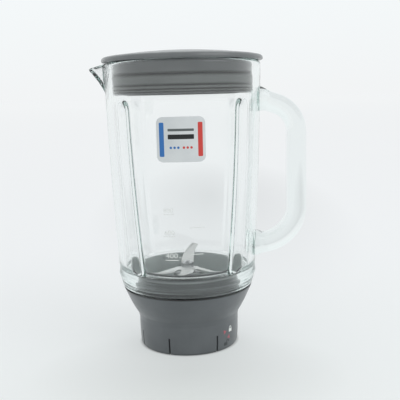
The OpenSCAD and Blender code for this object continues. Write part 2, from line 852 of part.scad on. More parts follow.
// Open retaining clip in the shaft's groove
module circlip() {
    gape = 52;
    color(steel)
        translate([0, 0, clip_z + fit_gap])
            rotate(gape / 2)
                rotate_extrude(angle = 360 - gape)
                    translate([groove_r + fit_gap, 0])
                        square([2.4, clip_t - 2 * fit_gap]);
}

// Moulded coupling with lobes that the drive's socket takes hold of
module drive_coupling() {
    lobe_r = 3.4;
    core_r = coupling_r - lobe_r - 0.6;
    color(dark_plastic)
        difference() {
            union() {
                translate([0, 0, coupling_z])
                    cylinder(h = coupling_h, r = core_r);
                translate([0, 0, coupling_z + coupling_h - 3])
                    cylinder(h = 3, r = coupling_r);
                for (i = [0:coupling_lobes - 1])
                    rotate(360 / coupling_lobes * i)
                        translate([core_r, 0, coupling_z])
                            cylinder(h = coupling_h - 2, r = lobe_r);
            }
            translate([0, 0, insert_z])
                cylinder(h = insert_h + fit_gap, r = (insert_r + fit_gap) / cos(30), $fn = 6);
            translate([0, 0, coupling_z - cut_past])
                cylinder(h = coupling_h + 2 * cut_past, r = stub_r + 0.6);
        }
}

// Hexagonal metal core of the coupling, threaded onto the shaft
module coupling_insert() {
    color(brass)
        translate([0, 0, insert_z])
            difference() {
                cylinder(h = insert_h, r = insert_r / cos(30), $fn = 6);
                translate([0, 0, -cut_past])
                    cylinder(h = insert_h + 2 * cut_past, r = stub_r + fit_gap);
            }
}

jug();
label();
lid();
lid_seal();
filler_cap();
base_collar();
jug_seal();
blade_carrier();
upper_bush();
lower_bush();
shaft_seal();
seal_retainer();
shaft();
blade_spacer();
lower_blade();
upper_blade();
blade_washer();
blade_nut();
thrust_washer();
circlip();
drive_coupling();
coupling_insert();
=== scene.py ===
# Glass blender jar: its looks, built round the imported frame. Tables are in millimetres, meshes in metres.
import math

import bmesh
import bpy
from mathutils import Matrix, Vector


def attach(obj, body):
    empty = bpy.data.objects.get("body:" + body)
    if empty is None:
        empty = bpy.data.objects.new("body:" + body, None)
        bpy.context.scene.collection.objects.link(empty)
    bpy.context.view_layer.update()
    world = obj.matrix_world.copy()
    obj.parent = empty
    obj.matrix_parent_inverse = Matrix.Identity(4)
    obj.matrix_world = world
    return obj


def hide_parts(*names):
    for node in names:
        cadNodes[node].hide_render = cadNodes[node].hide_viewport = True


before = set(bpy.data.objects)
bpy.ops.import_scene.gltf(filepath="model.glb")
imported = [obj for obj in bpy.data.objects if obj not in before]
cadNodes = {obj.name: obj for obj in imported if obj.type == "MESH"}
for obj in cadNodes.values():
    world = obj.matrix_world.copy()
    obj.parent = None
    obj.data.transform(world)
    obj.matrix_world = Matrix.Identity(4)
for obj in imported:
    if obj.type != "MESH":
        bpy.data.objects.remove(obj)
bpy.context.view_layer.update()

mm = 0.001
scene = bpy.context.scene
print("frame loaded with", len(cadNodes), "nodes")

# camera fitted to the photograph, 400 x 400, and the pale studio round it, in metres
studio = {
    "cameraPlace": (0.01271, -0.60370, 0.22217), "pitchDown": 8.74, "roll": -1.37,
    "lens": 61.11, "sensorWidth": 36,
    # the paper gets paler with the distance from a point in front of the jar, along a ramp bent by a power
    "floorR": 60, "floorFrom": (0, -0.15), "floorReach": 20, "floorPower": 0.4,
    "floorTones": [(0.07, (0.78, 0.82, 0.81)), (0.15, (0.84, 0.875, 0.88)), (0.24, (0.862, 0.886, 0.90)),
                   (0.43, (0.89, 0.908, 0.921)), (0.96, (0.918, 0.936, 0.944))],
    # share of the paper's tone that is shown as it is, so that the jar's shadow on it stays soft
    "floorShown": 0.55,
    # painted shadows on the paper, behind the jar, in front of its base and under it: middle (x, y), reach (x, y),
    # depth, edge
    "floorPaintedShadows": [((0.05, 0.90), (0.26, 0.85), 0.17, 1.0), ((0.0, -0.08), (0.13, 0.10), 0.15, 1.0),
                    ((0, 0), (0.046, 0.046), 0.9, 0.12)],
    "horizon": (0.888, 0.905, 0.913), "zenith": (0.906, 0.94, 0.95), "zenithFrom": 0.134, "worldLight": 0.93,
    "keyPlace": (1.1, -0.9, 1.2), "keyAim": (0, 0, 0.13), "keyWatts": 5, "keySize": 1.2,
    # glass seen through glass needs many bounces
    "bounces": 32, "glossyBounces": 12,
}


def mixed(a, b, share):
    return a + (b - a) * share


def ease(low, high, value):
    share = min(max((value - low) / (high - low), 0), 1)
    return share * share * (3 - 2 * share)


def inMetres(x, y, z):
    return Vector((x * mm, y * mm, z * mm))


def softMax(a, b, width):
    overlap = max(width - abs(a - b), 0) / width
    return max(a, b) + overlap * overlap * width / 4


# materials: small builders first, then one function for each finish
def startMaterial(name, values):
    material = bpy.data.materials.new(name)
    material.use_nodes = True
    tree = material.node_tree
    shader = tree.nodes["Principled BSDF"]
    for socket, value in values.items():
        shader.inputs[socket].default_value = value
    coords = tree.nodes.new("ShaderNodeTexCoord").outputs["Object"]
    return material, tree, shader, coords


def addNode(tree, kind, values=None, **settings):
    node = tree.nodes.new("ShaderNode" + kind)
    for key, value in settings.items():
        setattr(node, key, value)
    for socket, value in (values or {}).items():
        node.inputs[socket].default_value = value
    return node


def addNoise(tree, coords, scale, detail=4, stretch=(1, 1, 1)):
    mapping = addNode(tree, "Mapping", {"Scale": stretch})
    noise = addNode(tree, "TexNoise", {"Scale": scale, "Detail": detail})
    tree.links.new(coords, mapping.inputs["Vector"])
    tree.links.new(mapping.outputs["Vector"], noise.inputs["Vector"])
    return noise.outputs["Fac"]


def addRange(tree, source, low, high, fromLow=0.3, fromHigh=0.7):
    node = addNode(tree, "MapRange", {"From Min": fromLow, "From Max": fromHigh, "To Min": low, "To Max": high})
    tree.links.new(source, node.inputs["Value"])
    return node.outputs["Result"]


def addColors(tree, source, stops):
    ramp = addNode(tree, "ValToRGB")
    while len(ramp.color_ramp.elements) < len(stops):
        ramp.color_ramp.elements.new(0.5)
    for element, (place, color) in zip(ramp.color_ramp.elements, stops):
        element.position = place
        element.color = (*color, 1)
    tree.links.new(source, ramp.inputs["Fac"])
    return ramp.outputs["Color"]


def addBump(tree, shader, source, strength, depth):
    bump = addNode(tree, "Bump", {"Strength": strength, "Distance": depth})
    tree.links.new(source, bump.inputs["Height"])
    tree.links.new(bump.outputs["Normal"], shader.inputs["Normal"])


def addMix(tree, factor, under, over, kind="MIX"):
    # each of the three is a fixed value or the output of another node
    blend = addNode(tree, "Mix", data_type="RGBA", blend_type=kind)
    for socket, value in (("Factor", factor), ("A", under), ("B", over)):
        if isinstance(value, bpy.types.NodeSocket):
            tree.links.new(value, blend.inputs[socket])
        else:
            blend.inputs[socket].default_value = value
    return blend.outputs["Result"]


def addDistance(tree, coords, placing):
    mapping = addNode(tree, "Mapping", placing)
    tree.links.new(coords, mapping.inputs["Vector"])
    length = addNode(tree, "VectorMath", operation="LENGTH")
    tree.links.new(mapping.outputs["Vector"], length.inputs[0])
    return length.outputs["Value"]


def addHeight(tree, coords):
    split = addNode(tree, "SeparateXYZ")
    tree.links.new(coords, split.inputs["Vector"])
    return split.outputs["Z"]


def addSurface(tree, shader, coords, roughness, wear, grain, strength, depth):
    tree.links.new(addRange(tree, addNoise(tree, coords, *wear), *roughness), shader.inputs["Roughness"])
    addBump(tree, shader, addNoise(tree, coords, *grain), strength, depth)


# finishes: cloud, wear and grain are the scale and detail of the noise in colour, roughness and bump,
# strength and depth are the bump's, and radii are from the shaft's axis
grainy = {
    "cloud": (45, 6), "darkAt": 0.35, "paleAt": 0.68, "wear": (120, 4), "spread": (-0.05, 0.06),
    "grain": (1800, 3), "strength": 0.35, "depth": 0.00005, "coatRoughness": 0.22,
    # the tone left and the fade in millimetres of the painted shade along a seam's edge
    "seamShadeLeft": 0.12, "seamShadeFade": 0.3,
}
ripples = {"noise": (16, 1, (1, 1, 0.35)), "strength": 0.22, "depth": 0.0006}
brushed = {
    "streaks": (90, 8), "darkAt": 0.3, "paleAt": 0.7, "spread": (-0.07, 0.09), "strength": 0.25, "depth": 0.00003,
}
dust = {"cloud": (60, 6), "tone": (0.88, 0.88, 0.88)}
lips = {
    "near": 59.5, "far": 61.5, "grooveR": 59.9, "grooveEndR": 60.5, "lipR": 61.1,
    "roughness": (0.40, 0.52), "wear": (120, 4), "grain": (900, 3), "strength": 0.35, "depth": 0.00006,
}
cup = {
    "hubR": 14, "hubFade": (-0.6, 1.8), "cupR": 44.8, "cupFade": 1.2, "far": 60,
    # painted highlights: pale rings round the outside, where the cup sits in the glass, standing in for bright arcs of
    # light: scale, detail and stretch
    "rings": (9, 3, (1, 1, 40)), "ringHighlightTone": (0.62, 0.68, 0.67, 1), "ringShare": 0.42, "ringFrom": 0.50,
    "ringTo": 0.66,
    "roughness": (0.30, 0.42), "wear": (150, 4), "grain": (1800, 3), "strength": 0.35, "depth": 0.00005,
}
film = {
    "cloud": (35, 5), "darkAt": 0.3, "paleAt": 0.7, "dark": (0.56, 0.59, 0.60), "pale": (0.66, 0.69, 0.69),
    "metallic": 0.35, "roughness": (0.34, 0.46), "wear": (90, 3), "grain": (700, 2), "strength": 0.3,
    "depth": 0.00003, "inkFade": 0.12,
}


def addPaintedSeamShade(tree, coords, tone, low):
    # painted shade: darkens what lies above a height in millimetres, standing in for the shadow in the gap under the
    # glass
    left = addRange(tree, addHeight(tree, coords), 1, grainy["seamShadeLeft"], low * mm, (low + grainy["seamShadeFade"]) * mm)
    return addMix(tree, 1, tone, left, "MULTIPLY")


def grainyPlastic(name, dark, pale, roughness, depth=grainy["depth"], grain=grainy["grain"], polish=0, seamShadeFrom=None):
    material, tree, shader, coords = startMaterial(name, {
        "Specular IOR Level": 0.5, "Coat Weight": polish, "Coat Roughness": grainy["coatRoughness"]})
    stops = [(grainy["darkAt"], dark), (grainy["paleAt"], pale)]
    tone = addColors(tree, addNoise(tree, coords, *grainy["cloud"]), stops)
    # painted shade above a height, standing in for the shadow of a seam
    if seamShadeFrom:
        tone = addPaintedSeamShade(tree, coords, tone, seamShadeFrom)
    tree.links.new(tone, shader.inputs["Base Color"])
    spread = [roughness + change for change in grainy["spread"]]
    addSurface(tree, shader, coords, spread, grainy["wear"], grain, grainy["strength"], depth)
    return material


def clearGlass(name, tint, density):
    material, tree, shader, coords = startMaterial(name, {
        "Base Color": (1, 1, 1, 1), "Roughness": 0.0, "IOR": 1.5, "Transmission Weight": 1.0})
    addBump(tree, shader, addNoise(tree, coords, *ripples["noise"]), ripples["strength"], ripples["depth"])
    absorb = addNode(tree, "VolumeAbsorption", {"Color": (*tint, 1), "Density": density})
    tree.links.new(absorb.outputs["Volume"], tree.nodes["Material Output"].inputs["Volume"])
    return material


def brushedMetal(name, dark, pale, roughness, stretch):
    material, tree, shader, coords = startMaterial(name, {"Metallic": 1.0})
    streaks = addNoise(tree, coords, *brushed["streaks"], stretch)
    stops = [(brushed["darkAt"], dark), (brushed["paleAt"], pale)]
    tree.links.new(addColors(tree, streaks, stops), shader.inputs["Base Color"])
    spread = [roughness + change for change in brushed["spread"]]
    tree.links.new(addRange(tree, streaks, *spread), shader.inputs["Roughness"])
    addBump(tree, shader, streaks, brushed["strength"], brushed["depth"])
    return material


def addTonesByRadius(tree, coords, near, far, stops):
    # colours by the distance from the shaft's axis, from near to far in millimetres, clouded a little
    share = addRange(tree, addDistance(tree, coords, {"Scale": (1, 1, 0)}), 0, 1, near * mm, far * mm)
    tones = addColors(tree, share, [((place - near) / (far - near), color) for place, color in stops])
    cloud = addColors(tree, addNoise(tree, coords, *dust["cloud"]), [(0.3, dust["tone"]), (0.7, (1, 1, 1))])
    return addMix(tree, 1, tones, cloud, "MULTIPLY")


def lipRubberWithPaintedShade(name, grooveShade, lip):
    # painted shade: the grooves between the lips are painted dark as their shadow, against paler lip edges
    material, tree, shader, coords = startMaterial(name, {"Specular IOR Level": 0.5})
    stops = [(lips["grooveR"], grooveShade), (lips["grooveEndR"], grooveShade), (lips["lipR"], lip)]
    tone = addTonesByRadius(tree, coords, lips["near"], lips["far"], stops)
    tree.links.new(tone, shader.inputs["Base Color"])
    addSurface(tree, shader, coords, lips["roughness"], lips["wear"], lips["grain"], lips["strength"], lips["depth"])
    return material


def cupPlasticWithPaintedLight(name, dark, pale):
    # painted light: the cup's inside is painted pale for the light that reaches it through the glass; its outside and
    # the hub are as moulded
    material, tree, shader, coords = startMaterial(name, {"Specular IOR Level": 0.5})
    hubR, cupR = cup["hubR"], cup["cupR"]
    hubEnd, litFrom = (hubR + change for change in cup["hubFade"])
    stops = [(hubEnd, dark), (litFrom, pale), (cupR - cup["cupFade"], pale), (cupR, dark)]
    inside = addTonesByRadius(tree, coords, 0, cup["far"], stops)
    # painted highlights: pale rings mixed over the tone
    ringHighlight = addRange(tree, addNoise(tree, coords, *cup["rings"]), 0, cup["ringShare"], cup["ringFrom"], cup["ringTo"])
    tree.links.new(addMix(tree, ringHighlight, inside, cup["ringHighlightTone"]), shader.inputs["Base Color"])
    addSurface(tree, shader, coords, cup["roughness"], cup["wear"], cup["grain"], cup["strength"], cup["depth"])
    return material


def addPrint(tree, coords, under, color, middle, half, corner):
    # prints a rounded bar or dot, given in millimetres in the X-Z plane, over the colour so far
    place = coords
    for operation, vector in (("SUBTRACT", (middle[0] * mm, 0, middle[1] * mm)), ("ABSOLUTE", None),
                              ("SUBTRACT", ((half[0] - corner) * mm, 1, (half[1] - corner) * mm)),
                              ("MAXIMUM", (0, 0, 0))):
        step = addNode(tree, "VectorMath", operation=operation)
        tree.links.new(place, step.inputs[0])
        if vector:
            step.inputs[1].default_value = vector
        place = step.outputs["Vector"]
    length = addNode(tree, "VectorMath", operation="LENGTH")
    tree.links.new(place, length.inputs[0])
    fade = film["inkFade"]
    inside = addRange(tree, length.outputs["Value"], 1, 0, (corner - fade) * mm, (corner + fade) * mm)
    return addMix(tree, inside, under, (*color, 1))


def printedFilm(name, prints):
    material, tree, shader, coords = startMaterial(name, {"Metallic": film["metallic"], "Specular IOR Level": 0.5})
    stops = [(film["darkAt"], film["dark"]), (film["paleAt"], film["pale"])]
    tone = addColors(tree, addNoise(tree, coords, *film["cloud"]), stops)
    for color, middle, half, corner in prints:
        tone = addPrint(tree, coords, tone, color, middle, half, corner)
    tree.links.new(tone, shader.inputs["Base Color"])
    addSurface(tree, shader, coords, film["roughness"], film["wear"], film["grain"], film["strength"], film["depth"])
    return material


# the collar's top edge above 52.9 mm gets painted shade for the gap under the glass
collarPlastic = grainyPlastic("DarkPlastic", (0.088, 0.099, 0.106), (0.106, 0.118, 0.126), 0.36, polish=0.3,
                              seamShadeFrom=52.9)
lidPlastic = grainyPlastic("LidPlastic", (0.095, 0.105, 0.108), (0.118, 0.128, 0.131), 0.36, polish=0.5)
# the cup's pale inside tone is painted light
innerPlastic = cupPlasticWithPaintedLight("InnerPlastic", (0.078, 0.086, 0.090), (0.60, 0.65, 0.64))
couplingPlastic = grainyPlastic("CouplingPlastic", (0.050, 0.055, 0.058), (0.066, 0.072, 0.075), 0.45)
sealRubber = grainyPlastic("SealRubber", (0.105, 0.112, 0.110), (0.130, 0.137, 0.133), 0.50, 0.00008, (900, 3))
# the seal's grooves are painted near black as their shadow
sealLips = lipRubberWithPaintedShade("SealLips", (0.030, 0.034, 0.033), (0.20, 0.215, 0.21))
jugGlass = clearGlass("JugGlass", (0.62, 0.80, 0.76), 9)
bladeSteel = brushedMetal("BladeSteel", (0.76, 0.77, 0.76), (0.90, 0.90, 0.88), 0.42, (1, 6, 1))
turnedSteel = brushedMetal("TurnedSteel", (0.50, 0.51, 0.52), (0.68, 0.68, 0.69), 0.36, (1, 1, 12))
bushBronze = brushedMetal("BushBronze", (0.36, 0.24, 0.13), (0.50, 0.36, 0.21), 0.42, (1, 1, 1))
coreBrass = brushedMetal("CoreBrass", (0.62, 0.46, 0.20), (0.78, 0.61, 0.30), 0.30, (1, 1, 8))
paleInk = grainyPlastic("PaleInk", (0.68, 0.71, 0.69), (0.78, 0.81, 0.79), 0.42)
redInk = grainyPlastic("RedInk", (0.34, 0.085, 0.11), (0.42, 0.11, 0.14), 0.42)
shadeInk = grainyPlastic("ShadeInk", (0.030, 0.036, 0.038), (0.045, 0.052, 0.055), 0.45)

# the label's plain bars and dots; a bar has an ink, a place from the middle (x, z), a half size and a corner
label = {
    "middle": (-1.2, 188.2),
    "blue": (0.035, 0.155, 0.42), "red": (0.56, 0.055, 0.045), "grey": (0.10, 0.115, 0.115),
    "black": (0.012, 0.015, 0.015),
    "bars": [("blue", (-15.4, 0), (1.9, 13.6), 0.9), ("red", (15.4, 0), (1.9, 13.6), 0.9),
             ("grey", (0, 7.6), (10.4, 1.0), 0.5), ("black", (0, 2.2), (10.4, 1.9), 0.6)],
    "dots": [("blue", -8.2), ("red", 2.2)], "dotCount": 3, "dotStep": 3, "dotR": 1.0, "dotsLow": 6.4,
}


def labelPrints():
    x, z = label["middle"]
    radius = label["dotR"]
    prints = [(label[ink], (x + right, z + up), half, corner) for ink, (right, up), half, corner in label["bars"]]
    for ink, right in label["dots"]:
        for k in range(label["dotCount"]):
            place = (x + right + label["dotStep"] * k, z - label["dotsLow"])
            prints.append((label[ink], place, (radius, radius), radius))
    return prints


labelFilm = printedFilm("LabelFilm", labelPrints())
print("finishes made")


# mesh helpers
def roundCorners(points, closed, arcSteps=4):
    # points are x, y and radius; two roundings never meet on one edge
    longest = 0.48
    line = []
    count = len(points)
    for i, (x, y, radius) in enumerate(points):
        here = Vector((x, y))
        if radius <= 0 or (not closed and i in (0, count - 1)):
            line.append(here)
            continue
        before = Vector(points[i - 1][:2]) - here
        after = Vector(points[(i + 1) % count][:2]) - here
        half = before.angle(after) / 2
        reach = min(radius / math.tan(half), longest * before.length, longest * after.length)
        start = here + before.normalized() * reach
        end = here + after.normalized() * reach
        for k in range(arcSteps + 1):
            share = k / arcSteps
            line.append(start * (1 - share) ** 2 + here * 2 * share * (1 - share) + end * share ** 2)
    return line


def spinLine(bm, line, closed=True, steps=128):
    verts = [bm.verts.new(inMetres(x, 0, z)) for x, z in line]
    edges = [bm.edges.new(pair) for pair in zip(verts, verts[1:])]
    if closed:
        edges.append(bm.edges.new((verts[-1], verts[0])))
    before = set(bm.faces)
    bmesh.ops.spin(bm, geom=verts + edges, cent=(0, 0, 0), axis=(0, 0, 1), dvec=(0, 0, 0),
                   angle=2 * math.pi, steps=steps, use_merge=True, use_normal_flip=False, use_duplicate=False)
    made = [face for face in bm.faces if face not in before]
    bmesh.ops.remove_doubles(bm, verts=list({v for face in made for v in face.verts}), dist=1e-7)
    made = [face for face in bm.faces if face not in before]
    bmesh.ops.recalc_face_normals(bm, faces=made)


def addBlock(bm, low, high, turn=0.0, soften=0.0):
    size = [(b - a) * mm for a, b in zip(low, high)]
    middle = [(a + b) / 2 * mm for a, b in zip(low, high)]
    place = Matrix.Rotation(math.radians(turn), 4, "Z") @ Matrix.Translation(middle)
    made = bmesh.ops.create_cube(bm, size=1, matrix=place @ Matrix.Diagonal((*size, 1)))
    if soften:
        edges = list({edge for v in made["verts"] for edge in v.link_edges})
        bmesh.ops.bevel(bm, geom=edges, offset=soften * mm, offset_type="OFFSET", segments=2, profile=0.5,
                        affect="EDGES", material=-1, clamp_overlap=True)


def finishPiece(bm, name, material, body, replaced=(), sharpFrom=35):
    mesh = bpy.data.meshes.new(name)
    bm.to_mesh(mesh)
    bm.free()
    return placePiece(mesh, name, material, body, replaced, sharpFrom)


def placePiece(mesh, name, material, body, replaced=(), sharpFrom=35):
    piece = bpy.data.objects.new(name, mesh)
    scene.collection.objects.link(piece)
    mesh.materials.clear()
    mesh.materials.append(material)
    mesh.shade_smooth()
    mesh.set_sharp_from_angle(angle=math.radians(sharpFrom))
    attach(piece, body)
    if replaced:
        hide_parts(*replaced)
    return piece


# the glass jug: one wall with a bead, four inner ribs, a beak spout and a loop handle
jug = {
    "rimZ": 251.2, "shoulderZ": 55.2, "neckZ": 46.2, "wallZ": 71.7, "beadZ": 66.7,
    "topR": 68.0, "lowR": 61.2, "bow": 1.1, "mouthWall": 6.5, "lowWall": 5.6,
    "neckR": 50.2, "boreR": 46.6, "ledgeZ": 70.2, "innerLowZ": 74.2, "innerTopZ": 221.4,
    # steps of the foot, the bead and the ledge: radius, height from each one's own level, rounding
    "foot": [(58.3, 0, 2.0), (59.0, 2.0, 0.8), (59.0, 3.6, 0.8), (60.0, 5.2, 0.8), (60.0, 6.8, 0.8)],
    "bead": [(60.8, -3.4, 0.8), (61.75, 0, 1.6), (61.3, 4, 3.0)],
    "ledge": [(54.4, 1.6, 1.2), (52.6, 0.4, 0.8), (51.6, 0.9, 0.8), (50.2, 0.1, 0.8), (49.2, 0.6, 0.6)],
    "neckSoft": (0.8, 1.0, 1.0), "lipWide": 1.2, "lipDeep": 1.4, "lipSoft": 0.6,
    "grooves": (61.3, 55.3), "grooveHalf": 1.2, "grooveDeep": 0.5, "grooveSoft": 0.6,
    "ribR": 5.4, "ribHalf": 8.2, "ribDeep": 4.2, "ribY": 39.8, "ribTop": 213.5, "ribTopFade": 2, "ribFootFade": (1, 4),
    # the beak: its reach, the angles of its sides and its keel, its wall, how it blends in and dips at the tip
    "spoutReach": 81.0, "spoutSide": 37.7, "spoutLean": 31, "spoutWall": 6.3, "spoutHalf": 45, "spoutLowZ": 200,
    "keelR": 5.0, "innerKeelR": 1.2, "outerBlend": 2.0, "innerBlend": 1.6, "tipDip": 3.0, "dipZ": (232, 250),
    # columns of the mesh crowd together at the ribs and the beak: angle, how much, how wide
    "columns": 320, "rows": 58,
    "crowds": [(44, 2.4, 6.5), (136, 2.4, 6.5), (224, 2.4, 6.5), (316, 2.4, 6.5), (180, 3.5, 11)],
}
handle = {
    # the bends are middle x, middle z and radius; the top arm starts upright and leans between two values of x
    "gripX": 99.05, "topBend": (73.25, 189.2, 25.8), "lowBend": (66.55, 122.2, 32.5), "armRise": 18,
    "levelX": (63, 74), "thick": 17.5, "wide": 23.0, "roundness": 3.1, "sides": 48, "steps": (14, 18, 8, 22, 8),
    "topRootX": 62.6, "lowRootX": 58.4,
    # the arms widen where they run into the wall; each is told by its height and has its own wall x
    "flare": 0.24, "flareWide": 0.8, "flareReach": 11, "flareTop": (200, 66.6), "flareLow": (95, 62.6),
}


def outerR(z):
    share = (z - jug["wallZ"]) / (jug["rimZ"] - jug["wallZ"])
    return mixed(jug["lowR"], jug["topR"], share) + 4 * jug["bow"] * share * (1 - share)


def innerR(z):
    low, high = jug["innerLowZ"], jug["innerTopZ"]
    lowInner = jug["lowR"] - jug["lowWall"]
    mouth = jug["topR"] - jug["mouthWall"]
    share = min(max((z - low) / (high - low), 0), 1)
    return mixed(lowInner, mouth, share) + 3 * jug["bow"] * share * (1 - share)


def jugLine():
    base, bead, ledge, bore = jug["shoulderZ"], jug["beadZ"], jug["ledgeZ"], jug["boreR"]
    lip = jug["mouthWall"] / 2
    lipZ = jug["rimZ"] - lip
    rows = jug["rows"]
    neckLine = ((bore, jug["neckZ"]), (jug["neckR"], jug["neckZ"]), (jug["neckR"], base))
    neck = [(r, z, fillet) for (r, z), fillet in zip(neckLine, jug["neckSoft"])]
    foot = [(r, base + rise, fillet) for r, rise, fillet in jug["foot"]]
    foot += [(r, bead + rise, fillet) for r, rise, fillet in jug["bead"]]
    outside = [(outerR(z), z, 0) for z in [mixed(jug["wallZ"], lipZ, i / rows) for i in range(rows + 1)]]
    crown = [(jug["topR"] - lip + lip * math.cos(math.radians(a)), lipZ + lip * math.sin(math.radians(a)), 0)
             for a in range(15, 180, 15)]
    inside = [(innerR(z), z, 0) for z in [mixed(lipZ, jug["innerLowZ"], i / rows) for i in range(rows + 1)]]
    floorLine = [(r, ledge + rise, fillet) for r, rise, fillet in jug["ledge"]]
    floorLine += [(bore + jug["lipWide"], ledge, jug["lipSoft"]), (bore, ledge - jug["lipDeep"], jug["lipSoft"])]
    half = jug["grooveHalf"]
    for z in jug["grooves"]:
        for deep, rise in ((0, half), (jug["grooveDeep"], 0), (0, -half)):
            floorLine.append((bore + deep, z + rise, jug["grooveSoft"]))
    return roundCorners(neck + foot + outside + crown + inside + floorLine, True, 5)


def columnAngles(count):
    weights = []
    for i in range(3600):
        angle = i / 10  # in tenths of a degree, from the handle round to the back
        weight = 1.0
        for middle, more, reach in jug["crowds"]:
            weight += more * math.exp(-((angle - middle) / reach) ** 2)
        weights.append(weight)
    total, running, angles = sum(weights), 0.0, []
    for i, weight in enumerate(weights):
        while len(angles) < count and running >= len(angles) * total / count:
            angles.append(i / 10)
        running += weight
    return angles


def spoutR(angle, z, inset, keelR):
    # radius at which a ray from the axis leaves the beak: a round keel, then two straight sides
    off = abs((angle % 360) - 180)
    if off > jug["spoutHalf"]:
        return 0
    side, off = math.radians(jug["spoutSide"]), math.radians(off)
    drop = jug["rimZ"] - jug["tipDip"] - z
    centre = jug["spoutReach"] - drop * math.tan(math.radians(jug["spoutLean"])) - inset - keelR
    if off < math.atan2(keelR * math.cos(side), centre + keelR * math.sin(side)):
        return centre * math.cos(off) + math.sqrt(keelR ** 2 - (centre * math.sin(off)) ** 2)
    return (centre + keelR / math.sin(side)) * math.sin(side) / math.sin(off + side)


def ribHeight(angle, z):
    # how far the nearest rib swells inward from the wall: a soft wave across it, that fades out at both ends
    inner = innerR(z)
    middle = math.degrees(math.acos(jug["ribY"] / inner))
    off = abs(abs(((angle + 180) % 360) - 180) - 90) - middle
    across = abs(inner * math.sin(math.radians(off)))
    if across >= jug["ribHalf"]:
        return 0
    footFrom, footTo = (jug["ledgeZ"] + rise for rise in jug["ribFootFade"])
    left = ease(footFrom, footTo, z) - ease(jug["ribTop"] - jug["ribTopFade"], jug["ribTop"] + jug["ribR"], z)
    return jug["ribDeep"] * math.cos(math.pi / 2 * across / jug["ribHalf"]) ** 2 * math.sqrt(left)


def shapeJug(bm):
    angles = columnAngles(jug["columns"])
    perColumn = 360 / jug["columns"]
    tipReach = jug["spoutReach"] - jug["topR"]
    for vert in bm.verts:
        x, y, z = (value / mm for value in vert.co)
        column = round((math.degrees(math.atan2(y, x)) % 360) / perColumn) % jug["columns"]
        angle = angles[column]
        radius = math.hypot(x, y)
        outer, inner = outerR(z), innerR(z)
        inward = min(max((outer - radius) / (outer - inner), 0), 1)
        if inward > 0.5 and z > jug["ledgeZ"]:
            radius -= ribHeight(angle, z)
        if z > jug["spoutLowZ"]:
            # the wall is pushed out into the beak, and what is pushed out dips a little
            beak = spoutR(angle, z, 0, jug["keelR"])
            channel = spoutR(angle, z, jug["spoutWall"], jug["innerKeelR"])
            outerPush = softMax(outer, beak, jug["outerBlend"]) - outer
            innerPush = softMax(inner, channel, jug["innerBlend"]) - inner
            push = mixed(outerPush, innerPush, inward)
            radius += push
            z -= jug["tipDip"] * push / tipReach * ease(*jug["dipZ"], z)
        turn = math.radians(angle)
        vert.co = inMetres(radius * math.cos(turn), radius * math.sin(turn), z)


def handleStations():
    # x, z and heading of each section, from the top root round to the low one
    topX, topZ, topR = handle["topBend"]
    lowX, lowZ, lowR = handle["lowBend"]
    arm, topArc, grip, lowArc, foot = handle["steps"]
    upright = 90 - handle["armRise"]
    rise = math.radians(handle["armRise"])
    bendX, bendZ = topX + topR * math.sin(rise), topZ + topR * math.cos(rise)
    stations = []
    for i in range(arm):
        x = mixed(handle["topRootX"], bendX, i / arm)
        stations.append((x, bendZ + (bendX - x) * math.tan(rise), mixed(90, upright, ease(*handle["levelX"], x))))
    arcs = [(topX, topZ, topR, upright - upright * i / topArc) for i in range(topArc + 1)]
    arcs += [(handle["gripX"], mixed(topZ, lowZ, i / grip), 0, 0) for i in range(1, grip)]
    arcs += [(lowX, lowZ, lowR, -90 * i / lowArc) for i in range(lowArc + 1)]
    for x, z, r, turn in arcs:
        stations.append((x + r * math.cos(math.radians(turn)), z + r * math.sin(math.radians(turn)), turn))
    for i in range(1, foot + 1):
        stations.append((mixed(lowX, handle["lowRootX"], i / foot), lowZ - lowR, -90))
    return stations


def flareAt(x, z):
    # 1 where an arm meets the wall, 0 past the flare and along the grip
    topFrom, topX = handle["flareTop"]
    lowTo, lowX = handle["flareLow"]
    if lowTo <= z <= topFrom:
        return 0
    wall = topX if z > topFrom else lowX
    return 1 - ease(wall, wall + handle["flareReach"], x)


def sectionPoint(k, thick, wide):
    turn = 2 * math.pi * k / handle["sides"]
    power = 2 / handle["roundness"]
    c, s = math.cos(turn), math.sin(turn)
    return (math.copysign(abs(c) ** power, c) * thick / 2, math.copysign(abs(s) ** power, s) * wide / 2)


def handleMesh():
    bm = bmesh.new()
    loop = None
    for x, z, turn in handleStations():
        heading = math.radians(turn)
        grow = handle["flare"] * flareAt(x, z) ** 2
        thick, wide = handle["thick"] * (1 + grow), handle["wide"] * (1 + grow * handle["flareWide"])
        ringPoints = []
        for k in range(handle["sides"]):
            out, side = sectionPoint(k, thick, wide)
            ringPoints.append(inMetres(x + out * math.cos(heading), side, z + out * math.sin(heading)))
        if loop is None:
            verts = [bm.verts.new(p) for p in ringPoints]
            edges = [bm.edges.new((verts[k], verts[(k + 1) % len(verts)])) for k in range(len(verts))]
            bmesh.ops.edgeloop_fill(bm, edges=edges)
            loop = (verts, edges)
            continue
        made = bmesh.ops.extrude_edge_only(bm, edges=loop[1])["geom"]
        newVerts = [g for g in made if isinstance(g, bmesh.types.BMVert)]
        newEdges = [g for g in made if isinstance(g, bmesh.types.BMEdge)]
        newEdges = [e for e in newEdges if e.verts[0] in newVerts and e.verts[1] in newVerts]
        # the new ring's corners in the order of the last one's
        ordered = [next(e.other_vert(old) for e in old.link_edges if e.other_vert(old) in newVerts) for old in loop[0]]
        for vert, place in zip(ordered, ringPoints):
            vert.co = place
        loop = (ordered, newEdges)
    bmesh.ops.edgeloop_fill(bm, edges=loop[1])
    bmesh.ops.recalc_face_normals(bm, faces=bm.faces)
    mesh = bpy.data.meshes.new("handleRaw")
    bm.to_mesh(mesh)
    bm.free()
    return mesh


